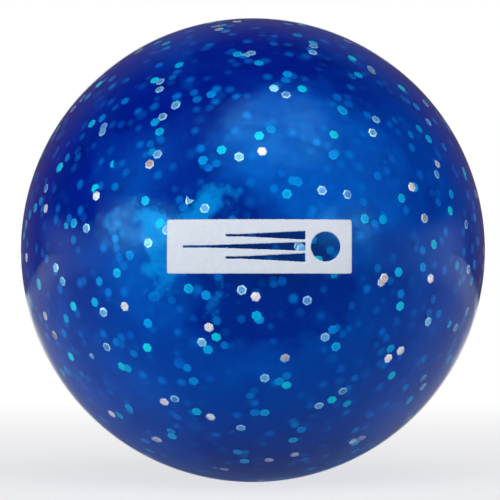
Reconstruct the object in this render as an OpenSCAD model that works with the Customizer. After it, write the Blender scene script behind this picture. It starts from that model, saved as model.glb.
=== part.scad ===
// Bouncy ball with glitter in it.
// A solid rubber core is moulded into a blue see-through layer, and that into a clear one.
// Both layers are full of six-sided foil flakes, which lie nearly flat to the surface.
// A small white panel is printed on the front, which faces -Y. The origin is the ball's centre.
// Lengths are in millimetres and angles in degrees.

/* [Ball] */
// Diameter over the clear layer
ball_d = 73; // [60:0.5:90]
// Thickness of the clear outer layer
clear_t = 2.2; // [1.8:0.1:4]
// Thickness of the blue see-through layer under it
tinted_t = 6.5; // [5:0.1:9]

/* [Foil flakes] */
// Width of a flake from corner to corner
flake_w = 1.5; // [0.8:0.05:1.8]
// Thickness of a flake
flake_t = 0.08; // [0.04:0.01:0.12]
// Most that a flake leans away from the ball's surface
flake_lean = 9; // [0:1:11]
// Least thickness of the layer over and under its flakes
skin_t = 0.2; // [0.1:0.05:0.3]
// Least gap between two flakes that lie equally deep
flake_gap = 0.3; // [0.1:0.1:0.6]
// Flakes at each depth of the clear layer
clear_count = 120; // [20:1:150]
// Flakes at each depth of the tinted layer
tinted_count = 140; // [20:1:150]

/* [Printed panel] */
// Width of the panel, seen from the front
panel_w = 26.8; // [20:0.1:34]
// Height of the panel
panel_h = 7.9; // [6:0.1:12]
// Radius of the panel's corners
panel_corner = 0.4; // [0.1:0.1:1.5]
// Thickness of the ink
ink_t = 0.05; // [0.03:0.01:0.12]
// Diameter of the bare disc, which stands for a ball
disc_d = 4.2; // [2:0.1:5]
// Gap from the disc's edge to the panel's right edge
disc_margin = 1.8; // [1:0.1:4]
// Gap between the disc and the bare streaks behind it
streak_gap = 0.9; // [0.4:0.1:2]
// Thickness of a streak at its blunt end
streak_t = 1.15; // [0.5:0.05:1.3]
// Distance between two streaks
streak_pitch = 1.6; // [1.4:0.05:2.2]
// Gap from the long middle streak's point to the panel's left edge
streak_margin = 2.4; // [1:0.1:5]
// Length of the short streaks over and under it, as a share of the long one's
short_streak_share = 0.65; // [0.4:0.05:0.9]

/* [Hidden] */
$fn = 96;
ball_r = ball_d / 2;
tinted_r = ball_r - clear_t;
core_r = tinted_r - tinted_t;
golden_turn = 137.50776;   // turn from one place of the spiral to the next
spiral_share = 3;          // least distance on the spiral, as a share of radius / sqrt(count)
whole_turn = 360;
clear_depth_count = 2;
tinted_depth_count = 5;
corner_lift = flake_w * flake_w / 8 / core_r;   // a flat flake's corners lie this far out
flake_rise = flake_w / 2 * sin(flake_lean) + flake_t / 2 + corner_lift;

// A number from 0 to 1 that looks random, but is the same each time for flake i's k-th draw.
function chance(i, k, batch) =
    let (x = sin(i * 78.233 + k * 37.719 + batch * 12.9898) * 43758.5453)
    x - floor(x);

// How far a flake may stray from its place on the spiral and still clear its neighbours.
function stray(r, count) = (spiral_share * r / sqrt(count) - flake_w - flake_gap) / 2;

// One foil flake, lying flat at the origin.
module flake() {
    cylinder(d = flake_w, h = flake_t, center = true, $fn = 6);
}

// One depth of flakes in a layer: depth 1 is the outermost of depths in all.
// The flakes follow a spiral from pole to pole. Each strays a little from its place on it,
// lies a little higher or lower and leans a little, all by chance. Another batch number
// gives other chances.
module flakes(outer_r, layer_t, depth, depths, count, batch) {
    slice_t = (layer_t - 2 * skin_t) / depths;
    slice_r = outer_r - skin_t - slice_t * (depth - 0.5);
    play = slice_t / 2 - flake_rise;
    for (i = [0 : count - 1]) {
        polar = acos(1 - (2 * i + 1) / count);
        aside = stray(slice_r, count) / slice_r * sqrt(chance(i, 1, batch)) * 180 / PI;
        lean = flake_lean * sqrt(chance(i, 4, batch));
        rotate([0, polar, golden_turn * (i + batch)])
            rotate([0, aside, whole_turn * chance(i, 2, batch)])
            translate([0, 0, slice_r + play * (2 * chance(i, 3, batch) - 1)])
            rotate([0, lean, whole_turn * chance(i, 5, batch)])
            rotate([0, 0, whole_turn * chance(i, 6, batch)])
            flake();
    }
}

module clear_flakes(depth) {
    color("gainsboro")
        flakes(ball_r, clear_t, depth, clear_depth_count, clear_count, depth);
}

module tinted_flakes(depth) {
    color("deepskyblue")
        flakes(
            tinted_r, tinted_t, depth, tinted_depth_count, tinted_count,
            clear_depth_count + depth
        );
}

// A moulded layer: a hollow ball.
module layer(outer_r, inner_r) {
    difference() {
        sphere(r = outer_r);
        sphere(r = inner_r);
    }
}

// The solid rubber ball that gives the bounce.
module core() {
    color("mediumblue")
        sphere(r = core_r);
}

// The blue layer, moulded round the core and round its flakes, so each flake has its own pocket.
module tinted_layer() {
    color("royalblue", 0.5)
        difference() {
            layer(tinted_r, core_r);
            for (depth = [1 : tinted_depth_count])
                tinted_flakes(depth);
        }
}

// The clear layer, moulded over the blue one in the same way.
module clear_layer() {
    color("aliceblue", 0.3)
        difference() {
            layer(ball_r, tinted_r);
            for (depth = [1 : clear_depth_count])
                clear_flakes(depth);
        }
}

// The panel's outline: a rectangle with small round corners.
module panel_outline() {
    square([panel_w - 2 * panel_corner, panel_h], center = true);
    square([panel_w, panel_h - 2 * panel_corner], center = true);
    for (x = [-1, 1], y = [-1, 1])
        translate([x * (panel_w / 2 - panel_corner), y * (panel_h / 2 - panel_corner)])
            circle(r = panel_corner);
}

// A streak that ends bluntly at the origin and comes to a point on the left.
module streak(length) {
    polygon([[0, -streak_t / 2], [0, streak_t / 2], [-length, 0]]);
}

// A ball in flight with three streaks behind it, left bare in the ink.
module flying_ball() {
    disc_x = panel_w / 2 - disc_margin - disc_d / 2;
    streak_x = disc_x - disc_d / 2 - streak_gap;
    long_streak = streak_x + panel_w / 2 - streak_margin;
    translate([disc_x, 0])
        circle(d = disc_d);
    for (row = [-1 : 1])
        translate([streak_x, row * streak_pitch])
            streak(row == 0 ? long_streak : long_streak * short_streak_share);
}

// White ink on the front of the ball. It is stamped straight on, so its edges look straight
// from the front, and it follows the ball's surface.
module print_panel() {
    color("white")
        intersection() {
            layer(ball_r + ink_t, ball_r);
            rotate([90, 0, 0])
                linear_extrude(height = ball_d)
                    difference() {
                        panel_outline();
                        flying_ball();
                    }
        }
}

core();
tinted_layer();
clear_layer();
print_panel();
clear_flakes(1);  // clear_flakes_1
clear_flakes(2);  // clear_flakes_2
tinted_flakes(1);  // tinted_flakes_1
tinted_flakes(2);  // tinted_flakes_2
tinted_flakes(3);  // tinted_flakes_3
tinted_flakes(4);  // tinted_flakes_4
tinted_flakes(5);  // tinted_flakes_5
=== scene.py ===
# %% [markdown]
# # A bouncy ball full of glitter
#
# The real ball is moulded in three steps: an opaque blue rubber core, a thick see-through
# blue layer round it, and a thin clear one on top. Both layers were stirred full of
# six-sided foil flakes before they set, and a white panel is printed on the outside.
#
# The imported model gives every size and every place. This script never moves it. It builds
# finer skins over the same pieces, gives them materials, and sets up a small studio.

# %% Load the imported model
import math

import bpy
import numpy as np
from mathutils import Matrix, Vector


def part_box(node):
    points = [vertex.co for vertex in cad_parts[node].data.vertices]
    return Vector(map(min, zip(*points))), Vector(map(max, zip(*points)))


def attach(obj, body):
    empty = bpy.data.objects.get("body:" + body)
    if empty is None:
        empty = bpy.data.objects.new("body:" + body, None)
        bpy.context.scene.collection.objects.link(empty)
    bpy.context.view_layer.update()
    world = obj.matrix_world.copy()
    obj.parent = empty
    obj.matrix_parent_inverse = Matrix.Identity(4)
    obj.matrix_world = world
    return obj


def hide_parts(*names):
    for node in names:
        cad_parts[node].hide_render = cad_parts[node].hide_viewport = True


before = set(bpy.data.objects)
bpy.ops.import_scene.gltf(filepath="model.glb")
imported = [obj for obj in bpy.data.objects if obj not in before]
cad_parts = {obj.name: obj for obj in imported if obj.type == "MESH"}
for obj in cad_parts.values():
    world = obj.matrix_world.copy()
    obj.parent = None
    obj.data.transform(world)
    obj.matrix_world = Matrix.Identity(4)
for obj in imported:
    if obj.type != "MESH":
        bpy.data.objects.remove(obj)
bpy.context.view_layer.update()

MM = 0.001
print("nodes in the packed model:", sorted(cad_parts))

# %% [markdown]
# Each round piece is a ball about the origin, so one number gives its size: the least
# that its box reaches in any of the six directions. The printed panel's box gives the
# panel's width and height.

# %% Measure the pieces
def reach(node):
    """The least distance from the origin to a side of the node's box."""
    return min(abs(value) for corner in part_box(node) for value in corner)


ball_r, tinted_r, core_r = reach("clear_layer"), reach("tinted_layer"), reach("core")
floor_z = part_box("clear_layer")[0].z
panel_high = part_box("print_panel")[1]
panel_w, panel_h = 2 * panel_high.x, 2 * panel_high.z
flake_nodes = sorted(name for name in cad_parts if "flakes" in name)
print(f"radii: {ball_r / MM:.2f}, {tinted_r / MM:.2f}, {core_r / MM:.2f} mm")
print(f"panel: {panel_w / MM:.2f} by {panel_h / MM:.2f} mm, flake nodes: {len(flake_nodes)}")

# %% [markdown]
# Every mesh here is worked out as whole numpy arrays, so one helper turns arrays of points
# and faces into an object. `foreach_set` copies an array in a single call, which is far
# quicker than adding vertices one at a time. The helper also makes the piece ride on the
# model's one body and hides the plain node that the piece stands for.

# %% Put arrays into a mesh
def add_piece(name, points, faces, material, node, smooth=True):
    """Makes a piece from points (n x 3, in metres) and faces (rows of point numbers).

    A row of four whose last two numbers are equal stands for a triangle.
    """
    faces = np.asarray(faces)
    is_triangle = faces[:, 2] == faces[:, 3]
    sides = np.where(is_triangle, 3, 4)
    keep = np.ones(faces.shape, bool)
    keep[is_triangle, 3] = False
    mesh = bpy.data.meshes.new(name)
    mesh.vertices.add(len(points))
    mesh.vertices.foreach_set("co", np.asarray(points, np.float32).ravel())
    mesh.loops.add(int(sides.sum()))
    mesh.loops.foreach_set("vertex_index", faces[keep].astype(np.int32))
    mesh.polygons.add(len(faces))
    starts = np.concatenate([[0], np.cumsum(sides)[:-1]]).astype(np.int32)
    mesh.polygons.foreach_set("loop_start", starts)
    mesh.update(calc_edges=True)
    mesh.validate()
    mesh.polygons.foreach_set("use_smooth", np.full(len(faces), smooth))
    mesh.materials.append(material)
    piece = bpy.data.objects.new(name, mesh)
    bpy.context.scene.collection.objects.link(piece)
    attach(piece, "root")
    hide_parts(node)
    print(f"{name}: {len(points)} points, {len(faces)} faces")
    return piece


# %% [markdown]
# Materials are built from nodes, and every node is filled in the same way: an input gets
# a plain value or a link from another node's output. One helper does both, and a few more
# add the nodes that come up again and again: noise, a soft range, and arithmetic.

# %% Node helpers
VECTOR_TO_NUMBER = ("LENGTH", "DOT_PRODUCT")


def set_input(tree, socket, value):
    """Gives an input a plain number, a vector, a colour of three numbers, or a link."""
    if isinstance(value, (int, float)):
        socket.default_value = value
    elif isinstance(value, tuple):
        socket.default_value = (*value, 1) if socket.type == "RGBA" else value
    else:
        tree.links.new(value, socket)


def set_inputs(tree, node, **values):
    """Fills several inputs of a node by name. An underscore stands for a space."""
    for name, value in values.items():
        set_input(tree, node.inputs[name.replace("_", " ")], value)


def add_operation(tree, kind, operation, values):
    """Adds a node that works on its inputs in order, and returns it."""
    node = tree.nodes.new(kind)
    node.operation = operation
    for socket, value in zip(node.inputs, values):
        set_input(tree, socket, value)
    return node


def add_math(tree, operation, *values):
    """Arithmetic on numbers or sockets."""
    return add_operation(tree, "ShaderNodeMath", operation, values).outputs["Value"]


def add_vector_math(tree, operation, *values):
    """Arithmetic on vectors. A length or a dot product comes out as a number."""
    node = add_operation(tree, "ShaderNodeVectorMath", operation, values)
    return node.outputs["Value" if operation in VECTOR_TO_NUMBER else "Vector"]


def add_noise(tree, coordinates, scale, detail, roughness=0.5, output="Fac"):
    """A noise texture that reads the given coordinates."""
    noise = tree.nodes.new("ShaderNodeTexNoise")
    set_inputs(
        tree, noise, Vector=coordinates, Scale=scale, Detail=detail, Roughness=roughness
    )
    return noise.outputs[output]


def add_range(tree, value, low, high, to_low=0.0, to_high=1.0):
    """Maps a value from low..high to to_low..to_high with soft ends."""
    ramp = tree.nodes.new("ShaderNodeMapRange")
    ramp.interpolation_type = "SMOOTHSTEP"
    set_inputs(
        tree, ramp, Value=value, From_Min=low, From_Max=high, To_Min=to_low, To_Max=to_high
    )
    return ramp.outputs["Result"]


def mix_colours(tree, factor, colour_a, colour_b):
    """Blends two colours by a factor."""
    mix = tree.nodes.new("ShaderNodeMix")
    mix.data_type = "RGBA"
    set_inputs(tree, mix, Factor=factor, A=colour_a, B=colour_b)
    return mix.outputs["Result"]


def mix_shaders(tree, factor, first, second):
    """Blends two shaders by a factor."""
    mix = tree.nodes.new("ShaderNodeMixShader")
    for socket, value in zip(mix.inputs, (factor, first, second)):
        set_input(tree, socket, value)
    return mix.outputs["Shader"]


# %% [markdown]
# A node group is a small kit of nodes that several materials can share. This one gives a
# fine mottling, for plastic, ink and paper. All the pieces read Object coordinates, which
# are in metres: the pattern then sticks to the piece and has its real scale.

# %% Shared group: mottling
MOTTLE_RANGE = (0.3, 0.7)


def new_group(name, inputs, outputs):
    """Starts a shader node group with inputs {name: value} and outputs {name: kind}."""
    group = bpy.data.node_groups.new(name, "ShaderNodeTree")
    for socket_name, value in inputs.items():
        kind = "NodeSocketVector" if isinstance(value, tuple) else "NodeSocketFloat"
        socket = group.interface.new_socket(socket_name, in_out="INPUT", socket_type=kind)
        socket.default_value = value
    for socket_name, kind in outputs.items():
        group.interface.new_socket(socket_name, in_out="OUTPUT", socket_type=kind)
    return group, group.nodes.new("NodeGroupInput"), group.nodes.new("NodeGroupOutput")


def make_mottle_group():
    """Fine mottling from 0 to 1, with its scale per metre."""
    group, entry, result = new_group(
        "fine_mottle", {"Scale": 300.0}, {"Mottle": "NodeSocketFloat"}
    )
    place = group.nodes.new("ShaderNodeTexCoord").outputs["Object"]
    noise = add_noise(group, place, entry.outputs["Scale"], detail=4.0, roughness=0.6)
    set_inputs(group, result, Mottle=add_range(group, noise, *MOTTLE_RANGE))
    return group


mottle_group = make_mottle_group()
print("group fine_mottle has", len(mottle_group.nodes), "nodes")

# %% [markdown]
# A handled ball is never quite spotless. This group gives the faint smudges and the very
# shallow ripple that a mould and many hands leave: a roughness that changes over the
# surface, and a bumped normal. Both plastics, the ink and the foil use it.

# %% Shared group: handling marks
RIPPLE_HEIGHT = 0.05 * MM
SMUDGE_RANGE = (0.45, 0.75)


def make_wear_group():
    """Roughness = base + smudges * amount, and a normal bumped by a fine ripple."""
    group, entry, result = new_group(
        "handling_marks",
        {
            "Base Roughness": 0.03, "Smudge Amount": 0.03, "Smudge Scale": 90.0,
            "Ripple Scale": 400.0, "Ripple Strength": 0.02,
        },
        {"Roughness": "NodeSocketFloat", "Normal": "NodeSocketVector"},
    )
    place = group.nodes.new("ShaderNodeTexCoord").outputs["Object"]
    noise = add_noise(group, place, entry.outputs["Smudge Scale"], detail=5.0, roughness=0.65)
    smudges = add_range(group, noise, *SMUDGE_RANGE)
    roughness = add_math(
        group, "MULTIPLY_ADD", smudges,
        entry.outputs["Smudge Amount"], entry.outputs["Base Roughness"],
    )
    bump = group.nodes.new("ShaderNodeBump")
    set_inputs(
        group, bump, Distance=RIPPLE_HEIGHT, Strength=entry.outputs["Ripple Strength"],
        Height=add_noise(group, place, entry.outputs["Ripple Scale"], detail=2.0),
    )
    set_inputs(group, result, Roughness=roughness, Normal=bump.outputs["Normal"])
    return group


wear_group = make_wear_group()
print("group handling_marks has", len(wear_group.nodes), "nodes")

# %% [markdown]
# Every material starts the same way: Blender gives a new one a Principled BSDF and an
# output, and the shared groups are then placed beside them.

# %% Start a material
def new_material(name):
    """A material with one Principled BSDF, returned with its tree, its shader and its output."""
    material = bpy.data.materials.new(name)
    material.use_nodes = True
    tree = material.node_tree
    shader = tree.nodes["Principled BSDF"]
    return material, tree, shader, tree.nodes["Material Output"]


def add_group(tree, group, **values):
    """Places a node group with its own values, and returns its outputs."""
    node = tree.nodes.new("ShaderNodeGroup")
    node.node_tree = group
    set_inputs(tree, node, **values)
    return node.outputs


def add_wear(tree, shader, roughness, smudge, smudge_scale, ripple_scale, ripple_strength):
    """Puts the handling marks on a shader's roughness and normal."""
    wear = add_group(
        tree, wear_group, Base_Roughness=roughness, Smudge_Amount=smudge,
        Smudge_Scale=smudge_scale, Ripple_Scale=ripple_scale, Ripple_Strength=ripple_strength,
    )
    set_inputs(tree, shader, Roughness=wear["Roughness"], Normal=wear["Normal"])


# %% [markdown]
# **The clear layer** is what makes the ball look wet. It is real refracting glass-like
# plastic, which enlarges everything inside by a half, so the layers below seem to reach
# the very rim. Lamps can't send shadow rays through a refracting skin, which would leave
# the inside dark and noisy. So shadow rays, and only those, meet a transparent shader.

# %% Material: clear plastic
CLEAR_IOR = 1.41
CLEAR_REFLECTION = (0.06, 0.62, 1.0)


def let_lamps_through(tree, output):
    """Mixes the surface with a transparent shader that only shadow rays meet."""
    surface = output.inputs["Surface"].links[0].from_socket
    shadow_ray = tree.nodes.new("ShaderNodeLightPath").outputs["Is Shadow Ray"]
    open_air = tree.nodes.new("ShaderNodeBsdfTransparent").outputs["BSDF"]
    set_inputs(tree, output, Surface=mix_shaders(tree, shadow_ray, surface, open_air))


def make_clear_plastic():
    """Clear, hard-polished plastic with faint smudges."""
    material, tree, shader, output = new_material("clear_plastic")
    set_inputs(
        tree, shader, Base_Color=(1.0, 1.0, 1.0), Transmission_Weight=1.0, IOR=CLEAR_IOR,
        Specular_Tint=CLEAR_REFLECTION,
    )
    add_wear(
        tree, shader, roughness=0.015, smudge=0.03, smudge_scale=70.0,
        ripple_scale=60.0, ripple_strength=0.08,
    )
    let_lamps_through(tree, output)
    return material


clear_plastic = make_clear_plastic()
print("made", clear_plastic.name)

# %% [markdown]
# **The tinted layer** takes red out of the light that crosses it, so the same foil looks
# silver in the clear layer, cyan just under it and blue further down. That is what Volume
# Absorption does. The plastic is also a little milky. A scattering volume would show
# that, but slowly and with much noise. A rough skin that hardly bends light does nearly
# the same: what lies just under it stays sharp, and what lies deeper blurs.

# %% Material: tinted plastic
TINTED_IOR = 1.09
TINTED_REFLECTION = (0.05, 0.6, 1.0)
HAZY, CLEAN = (0.76, 0.82, 0.96), (0.96, 1.0, 1.0)
LET_THROUGH = (0.1, 0.94, 1.0)
ABSORBED_PER_METRE = 600.0


def make_tinted_plastic():
    """Blue see-through plastic, a little milky, that absorbs red by the millimetre."""
    material, tree, shader, output = new_material("tinted_plastic")
    mottle = add_group(tree, mottle_group, Scale=700.0)["Mottle"]
    set_inputs(
        tree, shader, Base_Color=mix_colours(tree, mottle, HAZY, CLEAN),
        Transmission_Weight=1.0, IOR=TINTED_IOR, Specular_Tint=TINTED_REFLECTION,
    )
    add_wear(
        tree, shader, roughness=0.05, smudge=0.02, smudge_scale=45.0,
        ripple_scale=150.0, ripple_strength=0.1,
    )
    absorb = tree.nodes.new("ShaderNodeVolumeAbsorption")
    set_inputs(tree, absorb, Color=LET_THROUGH, Density=ABSORBED_PER_METRE)
    set_inputs(tree, output, Volume=absorb.outputs["Volume"])
    let_lamps_through(tree, output)
    return material


tinted_plastic = make_tinted_plastic()
print("made", tinted_plastic.name)

# %% [markdown]
# **The deep blue** is what the eye meets at the bottom of the tinted layer. It is never
# one flat blue: the milky plastic is uneven, so navy and azure clouds drift over the ball,
# and flakes that sank right down show as faint soft spots. The spots are a Voronoi
# texture: its distance is small near chance points, so a threshold on it draws a disc
# round each point. The group reads only the direction from the ball's centre. So the core
# and a flake over it get the same blue, and a deep flake's rim can melt into it.

# %% Patches and spots on a ball
# Shares of a spot's or an oval's radius at which it is gone and at which it is full
SPOT_EDGE, OVAL_EDGE = (1.1, 0.3), (1.3, 0.7)
FRONT_ANGLES = (30, 70)


def add_zone(tree, unit, direction, narrow, wide):
    """A soft round patch on a ball, about a direction from its centre.

    It is 1 within the narrow half angle and 0 beyond the wide one, both in degrees. The
    dot product of two unit directions is the cosine of the angle between them.
    """
    length = math.sqrt(sum(c * c for c in direction))
    dot = add_vector_math(tree, "DOT_PRODUCT", unit, tuple(c / length for c in direction))
    wide_cosine, narrow_cosine = (math.cos(math.radians(angle)) for angle in (wide, narrow))
    return add_range(tree, dot, wide_cosine, narrow_cosine)


def add_oval(tree, unit, half_width, half_height):
    """A soft oval on the front of a ball, about the direction -Y, in shares of its radius."""
    flat = add_vector_math(tree, "MULTIPLY", unit, (1 / half_width, 0.0, 1 / half_height))
    oval = add_range(tree, add_vector_math(tree, "LENGTH", flat), *OVAL_EDGE)
    front = add_zone(tree, unit, (0.0, -1.0, 0.0), *FRONT_ANGLES)
    return add_math(tree, "MULTIPLY", oval, front)


def add_spots(tree, place, pitch, radius, weakest):
    """Soft discs at chance points about a pitch apart, each with its own strength."""
    cells = tree.nodes.new("ShaderNodeTexVoronoi")
    set_inputs(tree, cells, Vector=place, Scale=1 / pitch)
    gone, full = (share * radius / pitch for share in SPOT_EDGE)
    disc = add_range(tree, cells.outputs["Distance"], gone, full)
    chance = tree.nodes.new("ShaderNodeSeparateColor")
    set_inputs(tree, chance, Color=cells.outputs["Color"])
    strength = add_range(tree, chance.outputs["Red"], 0.0, 1.0, weakest, 1.0)
    return add_math(tree, "MULTIPLY", disc, strength)


# %% [markdown]
# The patches are set out here by their direction from the centre and by two half angles in
# degrees: inside the first a patch is full, and beyond the second it is gone. A noise
# pushes the direction about before three of them read it, so their edges are ragged.

# %% Shared group: deep blue
NAVY, AZURE = (0.0, 0.015, 0.3), (0.0, 0.225, 0.65)
# The second blue here is the painted reflection of the left soft box
MOTTLE_BLUE, PAINTED_REFLECTION_BLUE = (0.0, 0.065, 0.41), (0.2, 0.6, 0.9)
# The first blue here is painted shade behind the panel
SHADED_BLUE, SPOT_BLUE, FAINT_BLUE = (0.008, 0.012, 0.2), (0.0, 0.38, 0.78), (0.0, 0.3, 0.7)
# Painted light: an azure patch about the top soft box's reflection
AZURE_PAINTED_LIGHT_PATCH = ((0.27, -0.87, 0.42), 7, 31)
# Painted reflection: a small pale patch where the left soft box is mirrored
PAINTED_REFLECTION_PATCH = ((-0.4, -0.915, -0.01), 5, 15)
NAVY_PATCH = ((0.0, -0.98, -0.15), 7, 28)
# Painted light: the underside is lighter, for the light that the milky layer spreads
UNDERSIDE_PAINTED_LIGHT = ((0.0, -0.5, -0.85), 20, 85)
# Painted shade: an oval behind the panel, where the ink shades the inside
PANEL_SHADE_OVAL = (0.42, 0.13)
# Noises: the scale per metre, the detail and the roughness
CLOUD_NOISE, CLOUD_RANGE = (38.0, 4.0, 0.5), (0.4, 0.62)
FINE_NOISE, RAGGED_NOISE = (260.0, 5.0, 0.7), (75.0, 5.0, 0.6)
RAGGEDNESS = 0.36
# Spots: the pitch, the radius, and the strength of the weakest
SPOTS = (2.5 * MM, 0.85 * MM, 0.05)
FAINT_SPOTS = (3.7 * MM, 1.1 * MM, 0.3)


def make_deep_blue_group():
    """Navy to azure clouds, a fine mottling and faint spots, by direction from the centre.

    One patch is azure, painted light about the top soft box's reflection, one under the panel
    is navy, and a small pale one on the left is a painted reflection of the left soft box. The
    underside is painted a little lighter, for the light that the milky layer spreads round the
    core. Behind the panel it is darker: painted shade where the ink shades the inside.
    """
    group, _, result = new_group("deep_blue", {}, {"Color": "NodeSocketColor"})
    place = group.nodes.new("ShaderNodeTexCoord").outputs["Object"]
    unit = add_vector_math(group, "NORMALIZE", place)
    on_core = add_vector_math(group, "MULTIPLY", unit, (core_r,) * 3)
    clouds = add_range(group, add_noise(group, on_core, *CLOUD_NOISE), *CLOUD_RANGE)
    mottle = add_range(group, add_noise(group, on_core, *FINE_NOISE), *MOTTLE_RANGE)
    noise = add_noise(group, on_core, *RAGGED_NOISE, output="Color")
    push = add_vector_math(group, "SUBTRACT", noise, (0.5,) * 3)
    ragged = add_vector_math(group, "MULTIPLY_ADD", push, (RAGGEDNESS,) * 3, unit)
    azure, milky, navy = (
        add_zone(group, ragged, *patch) for patch in (AZURE_PAINTED_LIGHT_PATCH, PAINTED_REFLECTION_PATCH, NAVY_PATCH)
    )
    level = add_math(group, "MULTIPLY", clouds, 0.6)
    # Painted light: the azure patch and the lighter underside; the navy patch is darker
    for zone, weight in ((azure, 1.0), (add_zone(group, unit, *UNDERSIDE_PAINTED_LIGHT), 0.5), (navy, -0.9)):
        level = add_math(group, "ADD", level, add_math(group, "MULTIPLY", zone, weight))
    blue = mix_colours(group, level, NAVY, AZURE)
    # The pale patch is a painted reflection, and the oval behind the panel is painted shade
    for mask, share, colour in (
        (mottle, 0.4, MOTTLE_BLUE),
        (milky, 0.85, PAINTED_REFLECTION_BLUE),
        (add_oval(group, unit, *PANEL_SHADE_OVAL), 0.8, SHADED_BLUE),
        (add_spots(group, on_core, *SPOTS), 1.0, SPOT_BLUE),
        (add_spots(group, on_core, *FAINT_SPOTS), 0.4, FAINT_BLUE),
    ):
        blue = mix_colours(group, add_math(group, "MULTIPLY", mask, share), blue, colour)
    set_inputs(group, result, Color=blue)
    return group


deep_blue_group = make_deep_blue_group()
print("group deep_blue has", len(deep_blue_group.nodes), "nodes")

# %% [markdown]
# **The core** is opaque blue rubber, so its colour is the deep blue itself. It never
# shines, because nothing glossy lies between it and the plastic moulded round it.

# %% Material: core rubber
def make_core_rubber():
    """Dull rubber in the deep blue."""
    material, tree, shader, _ = new_material("core_rubber")
    set_inputs(
        tree, shader, Base_Color=add_group(tree, deep_blue_group)["Color"], Roughness=0.6,
        Specular_IOR_Level=0.1,
    )
    return material


core_rubber = make_core_rubber()
print("made", core_rubber.name)

# %% [markdown]
# **The foil** is thin plastic film with a coat of metal. Under clear plastic it shines only
# in part, so Metallic stays under a half and the rest is the foil's own plain colour.
# That colour comes from the mesh: each flake carries its own tone in a colour attribute
# named foil, which for silver flakes is partly a painted reflection. Its rim, which the cutter
# bent a little, is painted brighter than its middle: a painted highlight.
# The attribute's fourth number says how much of the flake is lost in the milky plastic.
# That much of it takes the deep blue, so that deep flakes have soft rims, as haze gives.

# %% Material: foil
def make_foil(name, metallic, roughness, specular):
    """Foil in each flake's own tone, blended into the deep blue by the share that is lost."""
    material, tree, shader, _ = new_material(name)
    tone = tree.nodes.new("ShaderNodeAttribute")
    tone.attribute_name = "foil"
    deep_blue = add_group(tree, deep_blue_group)["Color"]
    colour = mix_colours(tree, tone.outputs["Alpha"], tone.outputs["Color"], deep_blue)
    set_inputs(
        tree, shader, Base_Color=colour, Metallic=metallic, Specular_IOR_Level=specular
    )
    add_wear(
        tree, shader, roughness=roughness, smudge=0.15, smudge_scale=900.0,
        ripple_scale=2500.0, ripple_strength=0.2,
    )
    return material


silver_foil = make_foil("silver_foil", metallic=0.45, roughness=0.26, specular=0.5)
cyan_foil = make_foil("cyan_foil", metallic=0.25, roughness=0.42, specular=0.15)
print("made", silver_foil.name, "and", cyan_foil.name)

# %% [markdown]
# **The ink** is dull white with the blue just showing through where the coat is thin, as
# pad printing leaves it.

# %% Material: white ink
THIN_INK, FULL_INK = (0.66, 0.71, 0.77), (0.7, 0.75, 0.79)


def make_white_ink():
    """Satin white ink with faint blue thin spots."""
    material, tree, shader, _ = new_material("white_ink")
    mottle = add_group(tree, mottle_group, Scale=1500.0)["Mottle"]
    set_inputs(tree, shader, Base_Color=mix_colours(tree, mottle, THIN_INK, FULL_INK))
    add_wear(
        tree, shader, roughness=0.42, smudge=0.12, smudge_scale=250.0,
        ripple_scale=2200.0, ripple_strength=0.15,
    )
    return material


white_ink = make_white_ink()
print("made", white_ink.name)

# %% [markdown]
# **The three round pieces** are one kind of surface: a point for every pair of angles,
# the first from pole to pole and the second all the way round. Each pole is a single
# point, so the surface is closed. A slow ripple in the radius keeps the inner skins from
# being perfect, as two pours of plastic never meet in a perfect sphere.

# %% Round surfaces
WAVES = 7
WAVE_RATE = 3.0


def ripple(direction, height, seed):
    """A slow, smooth bump on a sphere: a mean of sine waves along chance directions."""
    rng = np.random.default_rng(seed)
    waves = rng.normal(size=(WAVES, 3)) * WAVE_RATE
    shifts = rng.uniform(0, 2 * math.pi, WAVES)
    return height * np.sin(direction @ waves.T + shifts).mean(axis=-1)


def round_surface(radius, rings, turns, height, seed):
    """Points and faces of a closed round skin.

    At angle a from the pole and b round it, a point is the radius plus the ripple, times
    (sin a cos b, sin a sin b, cos a). Row 0 and the last row are the two poles.
    """
    a = np.linspace(0, math.pi, rings + 1)[1:-1, None]
    b = np.linspace(0, 2 * math.pi, turns, endpoint=False)[None, :]
    around = np.stack(
        [np.sin(a) * np.cos(b), np.sin(a) * np.sin(b), np.cos(a) * np.ones_like(b)], axis=-1
    ).reshape(-1, 3)
    direction = np.concatenate([[[0, 0, 1.0]], around, [[0, 0, -1.0]]])
    points = direction * (radius + ripple(direction, height, seed) - height)[:, None]
    number = 1 + np.arange((rings - 1) * turns).reshape(rings - 1, turns)
    after = np.roll(number, -1, axis=1)
    quads = np.stack([number[:-1], number[1:], after[1:], after[:-1]], axis=-1).reshape(-1, 4)
    last = len(points) - 1
    top = np.stack([number[0], after[0], np.zeros(turns, int), np.zeros(turns, int)], axis=-1)
    low = np.stack([after[-1], number[-1], np.full(turns, last), np.full(turns, last)], axis=-1)
    return points, np.concatenate([top, quads, low])


# %% [markdown]
# Each skin stands for one plain node. The clear one is a true ball, because it is what the
# hand and the light meet. The ripple only ever takes away from a radius, so no inner skin
# outgrows its node or touches the one round it.

# %% Clear layer, tinted layer and core
for name, radius, rings, height, seed, material, slot, node in (
    ("clear_skin", ball_r, 150, 0.0, 0, clear_plastic, "clear_gloss", "clear_layer"),
    ("tinted_skin", tinted_r, 110, 0.06 * MM, 4, tinted_plastic, "tinted_blue", "tinted_layer"),
    ("rubber_core", core_r, 90, 0.15 * MM, 9, core_rubber, "core_rubber", "core"),
):
    points, faces = round_surface(radius, rings, 2 * rings, height, seed)
    add_piece(name, points, faces, material, node)

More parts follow.
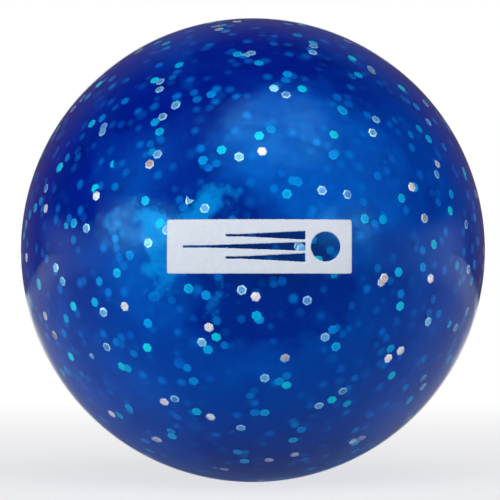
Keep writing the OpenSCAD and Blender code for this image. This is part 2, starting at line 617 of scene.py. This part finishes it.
# %% [markdown]
# **The flakes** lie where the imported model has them. Each plain flake there is a loose
# six-sided plate, so its corners tell its centre, its tilt and its turn. First the loose
# plates are told apart: every vertex starts with its own number, and takes the least
# number in its triangles again and again, until each plate shares one number.

# %% Read the flakes' places
PLATE_CORNERS = 12
SAME_SPOT = 0.001 * MM


def separate_solids(points, triangles):
    """Numbers the separate solids of a mesh, and returns one number for each point."""
    label = np.arange(len(points))
    while True:
        least = label[triangles].min(axis=1)
        spread = label.copy()
        np.minimum.at(spread, triangles.ravel(), np.repeat(least, 3))
        spread = spread[spread]
        if np.array_equal(spread, label):
            return np.unique(label, return_inverse=True)[1]
        label = spread


def flake_places(node):
    """Each flake's centre, and its three axes: towards a corner, across, and outwards.

    A plate's thinnest direction is the eigenvector of the least eigenvalue of its corners'
    spread. It is turned to point away from the ball's centre.
    """
    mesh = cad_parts[node].data
    points = np.empty(len(mesh.vertices) * 3)
    mesh.vertices.foreach_get("co", points)
    points = points.reshape(-1, 3)
    mesh.calc_loop_triangles()
    triangles = np.empty(len(mesh.loop_triangles) * 3, np.int32)
    mesh.loop_triangles.foreach_get("vertices", triangles)
    corners, merged = np.unique(
        np.round(points / SAME_SPOT).astype(int), axis=0, return_inverse=True
    )
    corners = corners * SAME_SPOT
    label = separate_solids(corners, merged.ravel()[triangles].reshape(-1, 3))
    plates = corners[np.argsort(label, kind="stable")].reshape(-1, PLATE_CORNERS, 3)
    centre = plates.mean(axis=1)
    offset = plates - centre[:, None]
    outwards = np.linalg.eigh(np.einsum("nki,nkj->nij", offset, offset))[1][:, :, 0]
    outwards *= np.sign((outwards * centre).sum(axis=1))[:, None]
    towards = offset[:, 0] - (offset[:, 0] * outwards).sum(axis=1)[:, None] * outwards
    size = np.linalg.norm(towards, axis=1)
    towards /= size[:, None]
    across = np.cross(outwards, towards)
    return centre, towards, across, outwards, float(size.mean())


for node in flake_nodes:
    places = flake_places(node)
    print(f"{node}: {len(places[0])} flakes, {places[4] / MM:.3f} mm from centre to corner")

# %% [markdown]
# Each new flake is a plate with a flat middle and a rim that slopes down to a thin edge.
# The numbers of its rings are shares of the flake's size, so one small pattern makes them
# all. Chance then curls some flakes, chips the corners off a few, and gives each its tone.

# %% Shape of a flake
RING_SHARES = np.array([0.66, 0.72, 1.0, 0.72, 0.66])
RING_HEIGHT_SHARES = np.array([1.0, 0.95, 0.0, -0.95, -1.0])
RINGS = len(RING_SHARES)
SIDES = 6
HALF_THICKNESS = 0.04 * MM
MOST_CURL = 0.035 * MM
# Share of the flakes that are chipped, of a chipped one's corners that are gone, and of a
# corner that a chip takes, at least and at most
CHIPPED_SHARE = 0.07
CHIPPED_CORNER_SHARE = 0.45
CHIP_SHARES = (0.25, 0.8)


def flake_faces():
    """Faces of one flake: 6 triangles round each centre, and 6 quads between two rings."""
    ring = 1 + np.arange(RINGS * SIDES).reshape(RINGS, SIDES)
    after = np.roll(ring, -1, axis=1)
    quads = np.stack([ring[:-1], ring[1:], after[1:], after[:-1]], axis=-1).reshape(-1, 4)
    last = 1 + RINGS * SIDES
    top = np.stack([ring[0], after[0], np.zeros(SIDES, int), np.zeros(SIDES, int)], axis=-1)
    low = np.stack([after[-1], ring[-1], np.full(SIDES, last), np.full(SIDES, last)], axis=-1)
    return np.concatenate([top, quads, low])


def flake_points(centre, towards, across, outwards, size, rng):
    """Points of all the flakes, as an array (flake, point, xyz).

    A point at ring share s and angle b lies s * size * (cos b, sin b) from the centre, in
    the flake's own plane, lifted by its ring's height and by a curl that grows with the
    square of the distance along one chance direction.
    """
    count = len(centre)
    angle = np.arange(SIDES) * 2 * math.pi / SIDES
    corner_share = np.ones((count, SIDES))
    chipped = rng.random(count) < CHIPPED_SHARE
    chip = rng.uniform(*CHIP_SHARES, (count, SIDES))
    chip *= rng.random((count, SIDES)) < CHIPPED_CORNER_SHARE
    corner_share -= np.where(chipped[:, None], chip, 0.0)
    x = size * RING_SHARES[None, :, None] * corner_share[:, None, :] * np.cos(angle)
    y = size * RING_SHARES[None, :, None] * corner_share[:, None, :] * np.sin(angle)
    z = np.broadcast_to(HALF_THICKNESS * RING_HEIGHT_SHARES[:, None], x.shape[1:])
    bend_angle = rng.uniform(0, math.pi, (count, 1, 1))
    along = (x * np.cos(bend_angle) + y * np.sin(bend_angle)) / size
    z = z + rng.uniform(-MOST_CURL, MOST_CURL, (count, 1, 1)) * along ** 2
    local = np.stack([x, y, z], axis=-1).reshape(count, -1, 3)
    ends = np.zeros((count, 1, 3))
    ends[..., 2] = HALF_THICKNESS
    local = np.concatenate([ends, local, -ends], axis=1)
    axes = np.stack([towards, across, outwards], axis=1)
    return centre[:, None] + np.einsum("npk,nki->npi", local, axes)


# %% [markdown]
# The tones: foil shows whatever it happens to face, so the silver tones are the foil's own
# silver with painted reflections in it: in the clear layer some flakes are painted white as
# glints, most pale blue and a few warm. In the tinted layer the tint does part of the work,
# and each flake's own tone the rest, from cyan just under the surface to blue at the bottom.
# The milky plastic hides the deep ones by a share that grows with their depth, and that is
# largest at the rim.

# %% Tone of each flake
# The foil's silver with painted reflections in it: pale blue, warm, and white glints
SILVER_AND_REFLECTION_TONES = np.array(
    [[0.13, 0.5, 1.0], [0.1, 0.38, 0.95], [0.5, 0.48, 0.5], [0.66, 0.43, 0.42], [1.1, 1.2, 1.2]]
)
SILVER_SHARES = np.array([0.41, 0.21, 0.07, 0.05, 0.26])
# Painted highlight on a silver flake's rim: the tone and how far it is pulled there
RIM_HIGHLIGHT_TONE = np.array([0.58, 1.0, 1.0])
RIM_HIGHLIGHT_PULL = (0.4, 1.0)
GAIN = (0.75, 1.25)
TINTED_TONES = np.array(
    [[0.0, 0.68, 1.0], [0.0, 0.54, 0.98], [0.0, 0.4, 0.88], [0.0, 0.32, 0.8], [0.0, 0.28, 0.76]]
)
# Painted highlight on a tinted flake's rim, with its share at each depth
TINTED_RIM_HIGHLIGHT_TONE = np.array([0.02, 0.95, 1.0])
TINTED_RIM_HIGHLIGHT_SHARES = [0.5, 0.25, 0.0, 0.0, 0.0]
TINTED_GAIN_POWER = 1.7
BLUE_GAIN_SHARE = 0.2
# Share lost at a flake's middle, at its inner ring and at its rim, from depth 1 to depth 5
LOST_SHARES = np.array(
    [[0, 0, 0.05], [0.03, 0.06, 0.3], [0.12, 0.22, 0.8], [0.22, 0.4, 1], [0.32, 0.55, 1]]
)


def flake_tones(node, count, rng):
    """A colour for each point of each flake, with the lost share as its fourth number.

    Each flake's tone is multiplied by a gain of its own, a tinted one's blue only in part.
    A silver flake's rim is pulled towards a near white by chance, and the rims of the two
    shallowest tinted depths towards cyan by their share: both are painted highlights.
    """
    depth = int(node.rsplit("_", 1)[1])
    ring_kind = [1, 1, 2, 1, 1]   # columns of LOST_SHARES
    kind = np.concatenate([[0], np.repeat(ring_kind, SIDES), [0]])
    is_rim = np.zeros(len(kind))
    is_rim[1 + SIDES:1 + (RINGS - 1) * SIDES] = 1
    is_rim = is_rim[None, :, None]
    gain = rng.uniform(*GAIN, (count, 1, 1))
    colour = np.zeros((count, len(kind), 4))
    if node.startswith("clear"):
        # Painted reflections in the silver tones
        tone = SILVER_AND_REFLECTION_TONES[rng.choice(len(SILVER_AND_REFLECTION_TONES), count, p=SILVER_SHARES)][:, None]
        tone = tone * gain
        highlight_pull = rng.uniform(*RIM_HIGHLIGHT_PULL, (count, 1, 1))
        # Painted highlight: the rim pulled towards a near white
        tone = tone + is_rim * highlight_pull * np.maximum(RIM_HIGHLIGHT_TONE - tone, 0)
    else:
        gain = gain ** TINTED_GAIN_POWER
        blue_gain = 1 - BLUE_GAIN_SHARE + BLUE_GAIN_SHARE * gain
        tone = TINTED_TONES[depth - 1] * np.concatenate([gain, gain, blue_gain], axis=-1)
        # Painted highlight: the rims of the shallowest depths pulled towards cyan
        tone = tone + is_rim * (TINTED_RIM_HIGHLIGHT_TONE - tone) * TINTED_RIM_HIGHLIGHT_SHARES[depth - 1]
        colour[..., 3] = LOST_SHARES[depth - 1][kind]
    colour[..., :3] = np.clip(tone, 0, 1)
    return colour


# %% [markdown]
# All the flakes of one node make one piece. A colour attribute on its points holds the
# tones, and `foreach_set` fills it in one call, as it does the points.

# %% Make the flakes
def make_flakes(node, seed):
    """All the flakes of one node, as one piece with a foil colour at each point."""
    rng = np.random.default_rng(seed)
    centre, towards, across, outwards, size = flake_places(node)
    points = flake_points(centre, towards, across, outwards, size, rng)
    count, per_flake = points.shape[:2]
    faces = flake_faces()[None] + per_flake * np.arange(count)[:, None, None]
    silver = node.startswith("clear")
    piece = add_piece(
        node.replace("flakes", "foil"), points.reshape(-1, 3), faces.reshape(-1, 4),
        silver_foil if silver else cyan_foil,
        node, smooth=False,
    )
    colours = piece.data.color_attributes.new(name="foil", type="FLOAT_COLOR", domain="POINT")
    colours.data.foreach_set("color", flake_tones(node, count, rng).ravel())
    piece.visible_shadow = silver   # the milky plastic spreads the light behind a deep flake


for seed, node in enumerate(flake_nodes, start=20):
    make_flakes(node, seed)

# %% [markdown]
# **The printed panel** is a sheet of ink 0.05 mm thick. Its outline is a distance
# function: for any spot it says how far the nearest edge of the ink is, below zero inside
# the ink. A rectangle, a disc and three streaks each have a simple one, and cutting one
# shape from another is only a matter of taking the larger number. A little waviness is
# added, because a silicone pad never leaves a ruler-straight edge.

# %% Outline of the ink
DISC_D = 4.2 * MM
DISC_MARGIN = 1.8 * MM
STREAK_GAP = 0.9 * MM
STREAK_T = 1.15 * MM
STREAK_PITCH = 1.6 * MM
STREAK_MARGIN = 2.4 * MM
SHORT_STREAK_SHARE = 0.65
CORNER_R = 0.4 * MM
THINNEST = 0.24 * MM
EDGE_WAVE = 0.035 * MM
SMALL_WAVE_SHARE = 0.6
# How fast the three sine waves of the edge run along x and z, in radians per millimetre
EDGE_RATES = ((5.3, 1.7), (-2.3, 4.1), (11.7, 9.1))


def rectangle_distance(x, z, width, height, corner):
    """Distance to a rectangle with round corners: outside parts as one length."""
    over_x = np.abs(x) - width / 2 + corner
    over_z = np.abs(z) - height / 2 + corner
    outside = np.hypot(np.maximum(over_x, 0), np.maximum(over_z, 0))
    return outside + np.minimum(np.maximum(over_x, over_z), 0) - corner


def streak_distance(x, z, start, length, thickness):
    """Distance to a spike: blunt at start, and on the left as thin as ink can leave bare."""
    slope = thickness / 2 / length
    half = np.maximum((x - start + length) * slope, THINNEST / 2)
    side = (np.abs(z) - half) / math.hypot(1, slope)
    return np.maximum(np.maximum(side, x - start), start - length - x)


def ink_distance(x, z):
    """How far the ink's edge is from (x, z), in metres, below zero inside the ink."""
    disc_x = panel_w / 2 - DISC_MARGIN - DISC_D / 2
    start = disc_x - DISC_D / 2 - STREAK_GAP
    long_streak = start + panel_w / 2 - STREAK_MARGIN
    ink = rectangle_distance(x, z, panel_w, panel_h, CORNER_R)
    ink = np.maximum(ink, DISC_D / 2 - np.hypot(x - disc_x, z))
    for row, share in ((-1, SHORT_STREAK_SHARE), (0, 1.0), (1, SHORT_STREAK_SHARE)):
        streak = streak_distance(x, z - row * STREAK_PITCH, start, long_streak * share, STREAK_T)
        ink = np.maximum(ink, -streak)
    u, v = x / MM, z / MM
    first, second, third = (np.sin(rate_u * u + rate_v * v) for rate_u, rate_v in EDGE_RATES)
    wave = first * second + SMALL_WAVE_SHARE * third
    return ink + EDGE_WAVE * wave / (1 + SMALL_WAVE_SHARE) + EDGE_WAVE


print("ink at the panel's centre line:", ink_distance(np.array([0.0]), np.array([0.0])) / MM)

# %% [markdown]
# The sheet is a grid of small cells. Cells inside the ink are kept, and the points on the
# border of the kept cells slide along the distance's slope onto the true edge. The top of
# the sheet swells from nothing at the edge to its full thickness, and the underside sits
# on the ball, so top and underside share their edge points and the ink is a closed solid.

# %% Make the printed panel
INK_T = 0.045 * MM
INK_EDGE = 0.07 * MM
CELL = 0.09 * MM
SUNK = 0.008 * MM
SLOPE_STEP = 0.01 * MM
LEAST_STEEPNESS = 0.2
MOST_SLIDE = 0.6 * CELL


def slide_to_edge(x, z, steps=3):
    """Newton steps along the slope of the distance, each held to most of a cell."""
    for _ in range(steps):
        far = ink_distance(x, z)
        slope_x, slope_z = (
            (ink_distance(x + dx, z + dz) - ink_distance(x - dx, z - dz)) / (2 * SLOPE_STEP)
            for dx, dz in ((SLOPE_STEP, 0.0), (0.0, SLOPE_STEP))
        )
        steep = np.maximum(slope_x ** 2 + slope_z ** 2, LEAST_STEEPNESS)
        x = x - np.clip(far * slope_x / steep, -MOST_SLIDE, MOST_SLIDE)
        z = z - np.clip(far * slope_z / steep, -MOST_SLIDE, MOST_SLIDE)
    return x, z


def make_panel():
    """The ink's top and underside over one grid, joined along the ink's edge."""
    columns, rows = int(panel_w / CELL) + 4, int(panel_h / CELL) + 4
    x, z = np.meshgrid(
        (np.arange(columns + 1) - columns / 2) * CELL, (np.arange(rows + 1) - rows / 2) * CELL,
        indexing="ij",
    )
    number = np.arange(x.size).reshape(x.shape)
    kept = ink_distance(x[:-1, :-1] + CELL / 2, z[:-1, :-1] + CELL / 2) < 0
    cells = np.stack(
        [number[:-1, :-1], number[1:, :-1], number[1:, 1:], number[:-1, 1:]], axis=-1
    )
    uses = np.bincount(cells[kept].ravel(), minlength=x.size)
    x, z = x.ravel(), z.ravel()
    border = (uses > 0) & (uses < 4)
    x[border], z[border] = slide_to_edge(x[border], z[border])
    depth_in = np.maximum(-ink_distance(x, z), 0)
    thickness = INK_T * (1 - np.exp(-depth_in / INK_EDGE))
    thickness[border] = 0
    across = np.hypot(x, z)
    top_r, low_r = ball_r + thickness, np.where(border, ball_r, ball_r - SUNK)
    top = np.stack([x, -np.sqrt(top_r ** 2 - across ** 2), z], axis=-1)
    low = np.stack([x, -np.sqrt(low_r ** 2 - across ** 2), z], axis=-1)
    under = np.where(border, np.arange(x.size), np.arange(x.size) + x.size)
    both = np.concatenate([cells[kept], under[cells[kept]][:, ::-1]])
    points = np.concatenate([top, low])
    used, faces = np.unique(both, return_inverse=True)
    return points[used], faces.reshape(both.shape)


points, faces = make_panel()
add_piece("printed_panel", points, faces, white_ink, "print_panel")

# %% [markdown]
# **The camera** stands 0.4 m off, a little to the left of the panel's own direction and a
# little below it, so the panel looks shifted to the right and up by some pixels. The lens
# is worked out from the picture: the ball's outline has to be 232.25 of the picture's 500
# pixels in radius, and the outline of a ball is seen a little in front of its centre, so
# its half angle has the sine radius / distance.

# %% Camera
def aim(thing):
    """Turns a lamp or a camera so that its -Z axis points at the ball's centre."""
    thing.rotation_euler = (-thing.location).to_track_quat("-Z", "Y").to_euler()


PICTURE = 500
OUTLINE_RADIUS_PX = 232.25
OUTLINE_CENTRE_PX = (252.8, 250.0)
CAMERA_DISTANCE = 0.4
PANEL_SHIFT_PX = (7.2, 3.6)
SENSOR = 36.0

camera_data = bpy.data.cameras.new("camera")
camera_data.sensor_width = SENSOR
outline_slope = math.tan(math.asin(ball_r / CAMERA_DISTANCE))
half_picture_slope = outline_slope * (PICTURE / 2) / OUTLINE_RADIUS_PX
camera_data.lens = SENSOR / 2 / half_picture_slope
camera_data.shift_x = (PICTURE / 2 - OUTLINE_CENTRE_PX[0]) / PICTURE
camera_data.shift_y = (OUTLINE_CENTRE_PX[1] - PICTURE / 2) / PICTURE
camera_data.clip_start = 0.01
camera = bpy.data.objects.new("camera", camera_data)
nearest_mm_px = ball_r / (CAMERA_DISTANCE - ball_r) / half_picture_slope * PICTURE / 2
turn, dip = (math.asin(shift / nearest_mm_px) for shift in PANEL_SHIFT_PX)
camera.location = (
    -CAMERA_DISTANCE * math.sin(turn) * math.cos(dip),
    -CAMERA_DISTANCE * math.cos(turn) * math.cos(dip),
    -CAMERA_DISTANCE * math.sin(dip),
)
aim(camera)
bpy.context.scene.collection.objects.link(camera)
bpy.context.scene.camera = camera
bpy.context.scene.view_settings.view_transform = "Standard"
print(f"lens {camera_data.lens:.1f} mm")

# %% [markdown]
# **The studio.** The room is white at the horizon and pale lilac grey in front, but dark
# above and beside the ball and dim behind it, which is what the ball's rim mirrors. The
# colour depends only on the direction from the ball, so one group serves the world and the
# far end of the floor: there the floor fades into the room, and no horizon line shows in
# any view.

# %% The room
BESIDE, IN_FRONT, BEHIND = (0.03, 0.04, 0.08), (0.5, 0.5, 0.57), (0.12, 0.095, 0.14)
HORIZON = (0.95, 0.95, 0.96)
# Soft ranges of a unit direction's y, which grows towards the back, and of its height z
FRONT_RANGE, BACK_RANGE, NOT_BACK_RANGE = (0.1, -0.7), (0.4, 0.8), (0.7, 0.2)
LOW_RANGE = (0.2, 0.045)


def make_room_group():
    """A colour for each direction: white low down, pale in front, dim behind and dark beside."""
    group, entry, result = new_group(
        "room_colour", {"Direction": (0.0, 0.0, 1.0)}, {"Color": "NodeSocketColor"}
    )
    split = group.nodes.new("ShaderNodeSeparateXYZ")
    set_inputs(
        group, split, Vector=add_vector_math(group, "NORMALIZE", entry.outputs["Direction"])
    )
    back, up = split.outputs["Y"], split.outputs["Z"]
    colour = mix_colours(group, add_range(group, back, *FRONT_RANGE), BESIDE, IN_FRONT)
    colour = mix_colours(group, add_range(group, back, *BACK_RANGE), colour, BEHIND)
    low_down = add_math(
        group, "MULTIPLY", add_range(group, up, *LOW_RANGE),
        add_range(group, back, *NOT_BACK_RANGE),
    )
    set_inputs(group, result, Color=mix_colours(group, low_down, colour, HORIZON))
    return group


def make_room(room_group):
    """The world: the room's colour in every direction."""
    world = bpy.data.worlds.new("room")
    world.use_nodes = True
    tree = world.node_tree
    direction = tree.nodes.new("ShaderNodeTexCoord").outputs["Generated"]
    room = add_group(tree, room_group, Direction=direction)
    set_inputs(tree, tree.nodes["Background"], Color=room["Color"])
    bpy.context.scene.world = world


room_group = make_room_group()
make_room(room_group)
print("group room_colour has", len(room_group.nodes), "nodes")

# %% [markdown]
# A white floor lies under the ball, and far behind it a sheet of the same paper hangs.
# The paper has a sheen: seen at a flat angle it is lifted to a clean white, and close to
# the ball it keeps its own matt grey when seen from above. The lift grows away from the
# ball. Only the rays that see the paper meet it, so the light that it throws on the ball
# stays as it is. Behind the ball, on both sides of the line of sight, lie zones that only
# its rim mirrors. They stay unlifted, which keeps the rim dark.

# %% Paper
PAPER = (0.87, 0.87, 0.87)
GRAIN_SHARE = 0.985
LIFT_AT_BALL = 0.7
# Each pair is a soft range. Distances over the floor are in metres.
LIFT_RANGE = (0.05, 0.3)
FLAT_VIEW_RANGE = (0.78, 0.92)
ALWAYS_WHITE_RANGE = (0.08, 0.5)
BEYOND_RANGE = (0.44, 0.78)
FAR_SIDE_RANGE, NEAR_SIDE_RANGE = (0.08, 0.2), (0.055, 0.115)
NEAR_END_RANGE = (0.4, 0.27)
ROOM_RANGE = (1.4, 2.6)
VIEW_SPREAD = 0.1
FAR_SIDE_STRETCH = 3.3


def add_rim_zones(tree, place, away):
    """The floor that only the ball's rim mirrors: behind the ball, on both sides.

    How far a spot lies off the centre is |x| less a tenth of y, as the view widens by a
    tenth of y. Returns the far zone, and the far and the near one together.
    """
    split = tree.nodes.new("ShaderNodeSeparateXYZ")
    set_inputs(tree, split, Vector=place)
    x, y = split.outputs["X"], split.outputs["Y"]
    beyond = add_range(tree, add_math(tree, "DIVIDE", y, away), *BEYOND_RANGE)
    off_centre = add_math(
        tree, "SUBTRACT", add_math(tree, "ABSOLUTE", x),
        add_math(tree, "MULTIPLY", y, VIEW_SPREAD),
    )
    far, near = (
        add_math(tree, "MULTIPLY", beyond, add_range(tree, off_centre, *side))
        for side in (FAR_SIDE_RANGE, NEAR_SIDE_RANGE)
    )
    near = add_math(tree, "MULTIPLY", near, add_range(tree, away, *NEAR_END_RANGE))
    return far, add_math(tree, "MAXIMUM", far, near)


def blend_to_glow(tree, surface, share, colour):
    """Mixes a surface with plain light by a share."""
    glow = tree.nodes.new("ShaderNodeEmission")
    set_inputs(tree, glow, Color=colour)
    return mix_shaders(tree, share, surface, glow.outputs["Emission"])


def make_paper():
    """Matt paper with a faint grain and a sheen, which looks whiter away from the ball.

    For camera, glossy and transmission rays it turns to plain white by a share: the lift
    at the ball, and 1 from 0.3 m on, less when the paper is seen from above, and none in
    the rim's zones. Far off it fades into the room: beyond the hung sheet, and sooner in
    the far one of those zones.
    """
    material, tree, shader, output = new_material("studio_paper")
    mottle = add_group(tree, mottle_group, Scale=60.0)["Mottle"]
    low = tuple(GRAIN_SHARE * c for c in PAPER)
    set_inputs(
        tree, shader, Base_Color=mix_colours(tree, mottle, low, PAPER), Roughness=0.9,
        Specular_IOR_Level=0.1,
    )
    place = tree.nodes.new("ShaderNodeTexCoord").outputs["Object"]
    away = add_vector_math(tree, "LENGTH", place)
    far, unlit = add_rim_zones(tree, place, away)
    path = tree.nodes.new("ShaderNodeLightPath").outputs
    seen = add_math(
        tree, "MAXIMUM", path["Is Transmission Ray"],
        add_math(tree, "MAXIMUM", path["Is Camera Ray"], path["Is Glossy Ray"]),
    )
    facing = tree.nodes.new("ShaderNodeLayerWeight").outputs["Facing"]
    flat_view = add_math(
        tree, "MAXIMUM", add_range(tree, facing, *FLAT_VIEW_RANGE),
        add_range(tree, away, *ALWAYS_WHITE_RANGE),
    )
    share = add_range(tree, away, *LIFT_RANGE, LIFT_AT_BALL, 1.0)
    for factor in (flat_view, seen, add_math(tree, "SUBTRACT", 1.0, unlit)):
        share = add_math(tree, "MULTIPLY", share, factor)
    surface = blend_to_glow(tree, shader.outputs["BSDF"], share, (1.0, 1.0, 1.0))
    stretch = add_math(tree, "ADD", add_math(tree, "MULTIPLY", far, FAR_SIDE_STRETCH), 1.0)
    fade = add_range(tree, add_math(tree, "MULTIPLY", away, stretch), *ROOM_RANGE)
    room = add_group(tree, room_group, Direction=place)
    set_inputs(tree, output, Surface=blend_to_glow(tree, surface, fade, room["Color"]))
    return material


# %% [markdown]
# The floor and the hung sheet are one kind of surface: a side outline carried straight
# along x. The hung sheet bends up from the floor in a quarter circle, as paper does.

# %% Floor and hung sheet
FLOOR_REACH = 3.0
BEND_R, BEND_Y, PAPER_TOP = 0.1, 0.95, 0.3
HUNG_HALF_WIDTH = 0.25
BEND_POINTS = 24


def make_sheet(name, profile, half_width, material):
    """A strip of paper: a profile of (y, z) carried straight along x."""
    profile = np.asarray(profile, float)
    sides = np.array([-half_width, half_width])
    points = np.stack(
        [np.repeat(sides, len(profile)), np.tile(profile[:, 0], 2), np.tile(profile[:, 1], 2)],
        axis=-1,
    )
    first = np.arange(len(profile) - 1)
    faces = np.stack([first, first + len(profile), first + len(profile) + 1, first + 1], axis=-1)
    mesh = bpy.data.meshes.new(name)
    mesh.from_pydata(points.tolist(), [], faces.tolist())
    mesh.polygons.foreach_set("use_smooth", np.ones(len(faces), bool))
    mesh.materials.append(material)
    sheet = bpy.data.objects.new(name, mesh)
    bpy.context.scene.collection.objects.link(sheet)


studio_paper = make_paper()
bend = [
    (BEND_Y + BEND_R * math.sin(t), floor_z + BEND_R * (1 - math.cos(t)))
    for t in np.linspace(0, math.pi / 2, BEND_POINTS)
]
make_sheet("floor", [(-FLOOR_REACH, floor_z), (FLOOR_REACH, floor_z)], FLOOR_REACH, studio_paper)
make_sheet("hung_paper", bend + [(BEND_Y + BEND_R, PAPER_TOP)], HUNG_HALF_WIDTH, studio_paper)
print("the paper rises", BEND_Y + BEND_R, "m behind the ball")

# %% [markdown]
# **Light.** Three soft boxes do the lighting: a wide one above the front, and a low one on
# each side. Real diffusing cloth hangs in folds and is brightest over its lamp, so each
# face fades towards its edges and is uneven. The ball then shows soft clouds, not hard
# white windows.

# %% Lamps
FACE_RANGE, FACE_GAINS = (0.2, 0.55), (1.5, 0.1)
FOLD_NOISE, FOLD_RANGE, FOLD_GAINS = (4.5, 4.0, 0.6), (0.42, 0.58), (0.55, 1.35)


def add_soft_box(name, azimuth, elevation, distance, width, height, glow, colour):
    """An area lamp at a direction from the ball. glow is the brightness of its face.

    Azimuth 0 is the camera's side, and it grows to the right. An area lamp of power P and
    face A shines at P / (pi A), so its power is glow * pi * A.
    """
    data = bpy.data.lights.new(name, "AREA")
    data.shape = "RECTANGLE"
    data.size, data.size_y = width, height
    data.energy = glow * math.pi * width * height
    data.color = colour
    data.use_nodes = True
    tree = data.node_tree
    place = tree.nodes.new("ShaderNodeNewGeometry").outputs["Parametric"]
    from_middle = add_vector_math(
        tree, "LENGTH", add_vector_math(tree, "SUBTRACT", place, (0.5, 0.5, 0.0))
    )
    fade = add_range(tree, from_middle, *FACE_RANGE, *FACE_GAINS)
    folds = add_range(tree, add_noise(tree, place, *FOLD_NOISE), *FOLD_RANGE, *FOLD_GAINS)
    set_inputs(tree, tree.nodes["Emission"], Strength=add_math(tree, "MULTIPLY", fade, folds))
    lamp = bpy.data.objects.new(name, data)
    a, e = math.radians(azimuth), math.radians(elevation)
    lamp.location = (
        distance * math.sin(a) * math.cos(e),
        -distance * math.cos(a) * math.cos(e),
        distance * math.sin(e),
    )
    aim(lamp)
    bpy.context.scene.collection.objects.link(lamp)


add_soft_box("soft_box_top", 12, 56, 0.7, 0.8, 0.62, 1.8, (0.95, 0.97, 1.0))
add_soft_box("soft_box_left", -57, 9.5, 0.7, 0.7, 0.3, 3.4, (0.97, 1.0, 1.0))
add_soft_box("soft_box_right", 42, 10, 0.8, 0.6, 0.3, 2.2, (1.0, 0.97, 0.98))
